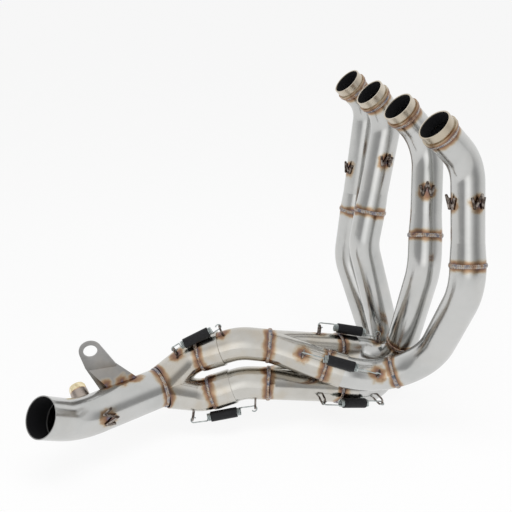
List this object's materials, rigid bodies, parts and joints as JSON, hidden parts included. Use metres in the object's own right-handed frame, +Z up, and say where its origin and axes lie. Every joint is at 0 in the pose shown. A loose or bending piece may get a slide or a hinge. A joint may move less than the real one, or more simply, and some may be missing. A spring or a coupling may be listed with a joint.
{
  "type": "motorcycle exhaust header",
  "caption": "Tubular steel exhaust header: runners slip into merges, secondaries and a collector, held by sleeved springs, with a bracket and a plugged sensor bung.",
  "frame": {"origin": "centre of the mouth of port 1, the port nearest the viewer", "axes": "+X to the front of the motorcycle, +Y along the row of ports to the far one, +Z up as fitted"},
  "size_m": [0.5332, 0.325, 0.4311],
  "materials": {
    "collar": "turned, straw tinted",
    "tube": "satin with heat tint by the welds",
    "weld": "rippled, brown and blue tint",
    "merge": "satin, straw tinted",
    "socket": "satin, straw tinted",
    "hook": "heat stained wire",
    "spring": "zinc plated wire",
    "sleeve": "matt",
    "bracket": "folded sheet, satin",
    "bung": "turned",
    "plug": "yellow zinc plated",
    "washer": "copper crush washer"
  },
  "bodies": {
    "root": {"port_collar_1": "collar", "port_collar_2": "collar", "port_collar_3": "collar", "port_collar_4": "collar", "runner_head_1": "tube", "runner_head_2": "tube", "runner_head_3": "tube", "runner_head_4": "tube", "runner_bend_1": "tube", "runner_bend_2": "tube", "runner_bend_3": "tube", "runner_bend_4": "tube", "runner_tail_1": "tube", "runner_tail_2": "tube", "runner_tail_3": "tube", "runner_tail_4": "tube", "runner_welds_1": "weld", "runner_welds_2": "weld", "runner_welds_3": "weld", "runner_welds_4": "weld", "port_hooks_1": "hook", "port_hooks_2": "hook", "port_hooks_3": "hook", "port_hooks_4": "hook", "upper_merge": "merge", "lower_merge": "merge", "upper_secondary": "merge", "lower_secondary": "merge", "collector": "merge", "upper_merge_sockets": "socket", "lower_merge_sockets": "socket", "collector_sockets": "socket", "merge_welds": "weld", "collector_welds": "weld", "link_pipe": "tube", "link_hook": "hook", "bracket": "bracket", "sensor_bung": "bung", "sensor_plug": "plug", "plug_washer": "washer", "spring_hooks_1": "hook", "spring_hooks_2": "hook", "spring_hooks_3": "hook", "spring_hooks_4": "hook", "spring_hooks_5": "hook", "spring_hooks_6": "hook", "spring_1": "spring", "spring_2": "spring", "spring_3": "spring", "spring_4": "spring", "spring_5": "spring", "spring_6": "spring", "spring_sleeve_1": "sleeve", "spring_sleeve_2": "sleeve", "spring_sleeve_3": "sleeve", "spring_sleeve_4": "sleeve", "spring_sleeve_5": "sleeve", "spring_sleeve_6": "sleeve"}
  },
  "joints": []
}
